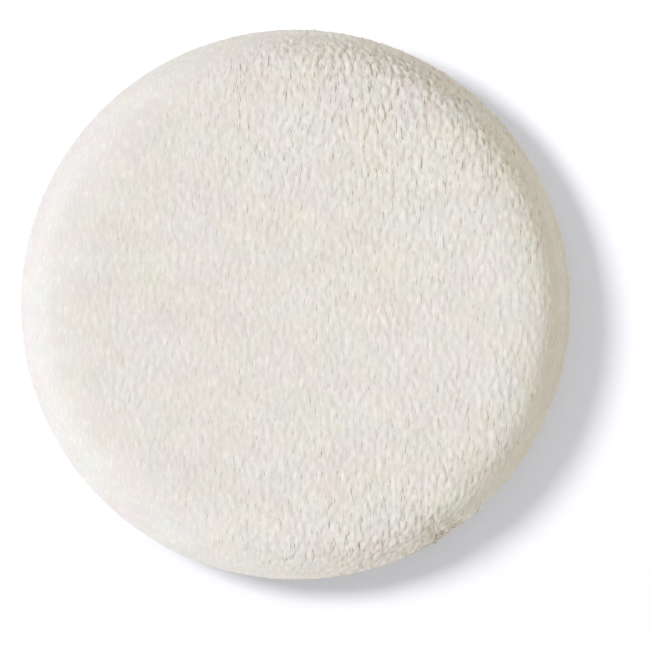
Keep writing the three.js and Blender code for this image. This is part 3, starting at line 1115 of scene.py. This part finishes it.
def seam_route(shape, thread, crease, level):
    """The seam's thread, in and out through the turned-in edges from one end of the gap to the other."""
    across = crease - shape.allowance_width / 2
    gap = thread.turning_gap / crease
    seam = 2 * math.pi - gap
    stitches = round(seam * across / thread.stitch_length)
    tail = THREAD_TAIL / across
    holes = [shape.closing_azimuth + gap / 2 + seam * i / stitches for i in range(stitches + 1)]
    points = [around(across, holes[0] - tail, shape.seam_height + level)]
    side = 1
    for hole in holes:
        for step in (side, -side):
            points.append(around(across, hole, shape.seam_height + step * level))
        side = -side
    points.append(around(across, holes[-1] + tail, shape.seam_height + side * level))
    return points


def closing_route(shape, thread, crease, level):
    """The closing thread, whipped over the two edges of the turning gap."""
    middle = crease + shape.seam_gap + thread.diameter / 2 - level
    tail_room = THREAD_TAIL + thread.diameter + 2 * shape.seam_gap
    closing = (thread.turning_gap - 2 * tail_room) / crease
    steps = thread.closing_stitches * STEPS_PER_STITCH
    points = []
    for i in range(steps + 1):
        turn = math.pi - 2 * math.pi * i / STEPS_PER_STITCH
        azimuth = shape.closing_azimuth + closing * (i / steps - 0.5)
        points.append(around(middle + level * math.cos(turn), azimuth,
                             shape.seam_height + level * math.sin(turn)))
    return points


class PUFF_OT_threads(bpy.types.Operator):
    """Makes the thread of the seam and the thread that closes the turning gap"""

    bl_idname = "puff.threads"
    bl_label = "Threads"

    def execute(self, context):
        scene = context.scene
        shape, thread = scene.puff_shape, scene.puff_thread
        material, tree = thread_material(scene.puff_colours), thread_tree()
        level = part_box("seam_thread")[1].z - shape.seam_height - thread.diameter / 2
        crease = shape.radius - shape.crease_depth

        points = seam_route(shape, thread, crease, level)
        sewn = threaded(
            "seam_stitching", points, tree, thread.diameter, thread.twist, SEAM_BEND, material)
        dressed(sewn)
        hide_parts("seam_thread")

        points = closing_route(shape, thread, crease, level)
        sewn = threaded(
            "closing_stitching", points, tree, thread.diameter, thread.twist, CLOSING_BEND, material)
        points = [around(across * MM, shape.closing_azimuth + math.radians(turn), height * MM)
                  for across, turn, height in LOOSE_END]
        loose = threaded(
            "loose_end", points, tree, LOOSE_SHARE * thread.diameter, thread.twist, LOOSE_BEND, material)
        both = bmesh.new()
        both.from_mesh(sewn.data)
        both.from_mesh(loose.data)
        both.to_mesh(sewn.data)
        both.free()
        bpy.data.objects.remove(loose)
        dressed(sewn)
        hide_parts("closing_thread")
        return {"FINISHED"}


def lamp_of(name, kind, light, power):
    """A lamp for that light on a level white floor. The power is what a light of 1 there asks of it."""
    lamp = bpy.data.lights.new(name, kind)
    level = max(light)
    lamp.energy = level * power
    lamp.color = [c / level for c in light]
    return made(name, lamp)


def sun(name, azimuth, elevation, light, width):
    """A lamp that gives a level white floor that light, from a round source of that angular width."""
    shine = lamp_of(name, "SUN", light, math.pi / math.sin(elevation))
    shine.data.angle = width
    toward = -Vector(around(math.cos(elevation), azimuth, math.sin(elevation)))
    shine.rotation_euler = toward.to_track_quat("-Z", "Y").to_euler()
    return shine


def near_lamp(name, azimuth, elevation, light, width, distance):
    """A round lamp at that distance that gives a level white floor that light, however far it falls."""
    shine = lamp_of(name, "POINT", light, (2 * math.pi) ** 2 / math.sin(elevation))
    lamp = shine.data
    lamp.shadow_soft_size = distance * math.tan(width / 2)
    lamp.use_nodes = True
    n = Nodes(lamp.node_tree)
    even = n.node("ShaderNodeLightFalloff", {"Strength": 1.0}).outputs["Constant"]
    n.link(even, lamp.node_tree.nodes["Emission"].inputs["Strength"])
    shine.location = around(distance * math.cos(elevation), azimuth, distance * math.sin(elevation))
    shine.visible_camera = False
    return shine


# Half the floor's width, in metres.
FLOOR_REACH = 3.0
# Angular widths of the lamps, seen from the puff.
KEY_WIDTH, FLOOR_KEY_WIDTH, FLOOR_FILL_WIDTH = (math.radians(width) for width in (21, 14.5, 120))
OVERHEAD = math.pi / 2
WHITE = (1, 1, 1, 1)
# The camera's focal length and sensor in mm, and the nearest that it sees in metres.
LENS, SENSOR, CLIP = 150, 36, 0.01


class PUFF_OT_stage(bpy.types.Operator):
    """Sets up the white floor, the studio light and the camera over the puff"""

    bl_idname = "puff.stage"
    bl_label = "Stage"

    def execute(self, context):
        scene = context.scene
        shape, stage, colours = scene.puff_shape, scene.puff_stage, scene.puff_colours
        scene.view_settings.view_transform = "Standard"

        mesh = bpy.data.meshes.new("floor")
        corners = [(x * FLOOR_REACH, y * FLOOR_REACH, 0) for x, y in QUARTERS]
        mesh.from_pydata(corners, [], [(0, 1, 2, 3)])
        floor = made("floor", mesh)
        material, n, shader = new_material("white floor", Roughness=1.0, Specular_IOR_Level=0.0)
        shader["Base Color"].default_value = opaque(colours.floor)
        under = n.node("ShaderNodeNewGeometry").outputs["Backfacing"]
        surface = n.tree.nodes["Principled BSDF"].outputs[0]
        clear = n.out("ShaderNodeBsdfTransparent")
        either = n.out("ShaderNodeMixShader", {0: under, 1: surface, 2: clear})
        n.link(either, n.tree.nodes["Material Output"].inputs["Surface"])
        mesh.materials.append(material)

        world = bpy.data.worlds.new("studio")
        scene.world = world
        world.use_nodes = True
        n = Nodes(world.node_tree)
        path = n.node("ShaderNodeLightPath").outputs
        mirrored = n.calc("MAXIMUM", path["Is Glossy Ray"], path["Is Transmission Ray"])
        seen = n.calc("MAXIMUM", path["Is Camera Ray"], mirrored)
        toward = n.node("ShaderNodeTexCoord").outputs["Generated"]
        aside = n.vector("DOT_PRODUCT", toward, around(-1.0, stage.key_azimuth, 0.0))
        sky = n.scaled(stage.sky, n.calc("MULTIPLY_ADD", aside, stage.sky_lean, 1.0))
        n.link(n.blended(seen, sky, WHITE), n.tree.nodes["Background"].inputs["Color"])

        key = sun("key", stage.key_azimuth, stage.key_elevation, stage.key, KEY_WIDTH)
        side = near_lamp("floor_key", stage.floor_azimuth, stage.floor_elevation, stage.floor_key,
                         FLOOR_KEY_WIDTH, stage.floor_distance)
        fill = sun("floor_fill", 0.0, OVERHEAD, stage.floor_fill, FLOOR_FILL_WIDTH)
        for lamp, state in ((key, "EXCLUDE"), (side, "INCLUDE"), (fill, "INCLUDE")):
            lit = bpy.data.collections.new(f"{lamp.name}_floor")
            lit.objects.link(floor)
            lit.collection_objects[0].light_linking.link_state = state
            lamp.light_linking.receiver_collection = lit

        lens = bpy.data.cameras.new("overhead")
        lens.lens = LENS
        lens.sensor_width = SENSOR
        lens.clip_start = CLIP
        camera = made("overhead", lens)
        height = stage.frame_width * lens.lens / lens.sensor_width
        camera.location = (stage.centre[0], stage.centre[1], shape.seam_height + height)
        scene.camera = camera
        return {"FINISHED"}


GROUPS = {"puff_shape": PuffShape, "puff_pile": PuffPile, "puff_thread": PuffThread,
          "puff_colours": PuffColours, "puff_stage": PuffStage}
OPERATORS = (PUFF_OT_stage, PUFF_OT_covers, PUFF_OT_wadding, PUFF_OT_foam, PUFF_OT_threads)


class PUFF_PT_panel(bpy.types.Panel):
    """Lists the puff's sizes, colours and steps"""

    bl_idname = "PUFF_PT_panel"
    bl_label = "Powder puff"
    bl_space_type = "VIEW_3D"
    bl_region_type = "UI"
    bl_category = "Puff"

    def draw(self, context):
        for name, group in GROUPS.items():
            box = self.layout.box()
            for label in group.__annotations__:
                box.prop(getattr(context.scene, name), label)
        for operator in OPERATORS:
            self.layout.operator(operator.bl_idname)


def register():
    for name, group in GROUPS.items():
        bpy.utils.register_class(group)
        setattr(bpy.types.Scene, name, bpy.props.PointerProperty(type=group))
    for kind in (*OPERATORS, PUFF_PT_panel):
        bpy.utils.register_class(kind)


def unregister():
    for kind in reversed((*OPERATORS, PUFF_PT_panel)):
        bpy.utils.unregister_class(kind)
    for name, group in GROUPS.items():
        delattr(bpy.types.Scene, name)
        bpy.utils.unregister_class(group)


def main():
    register()
    for operator in OPERATORS:
        group, name = operator.bl_idname.split(".")
        getattr(getattr(bpy.ops, group), name)()


if __name__ == "__main__":
    main()
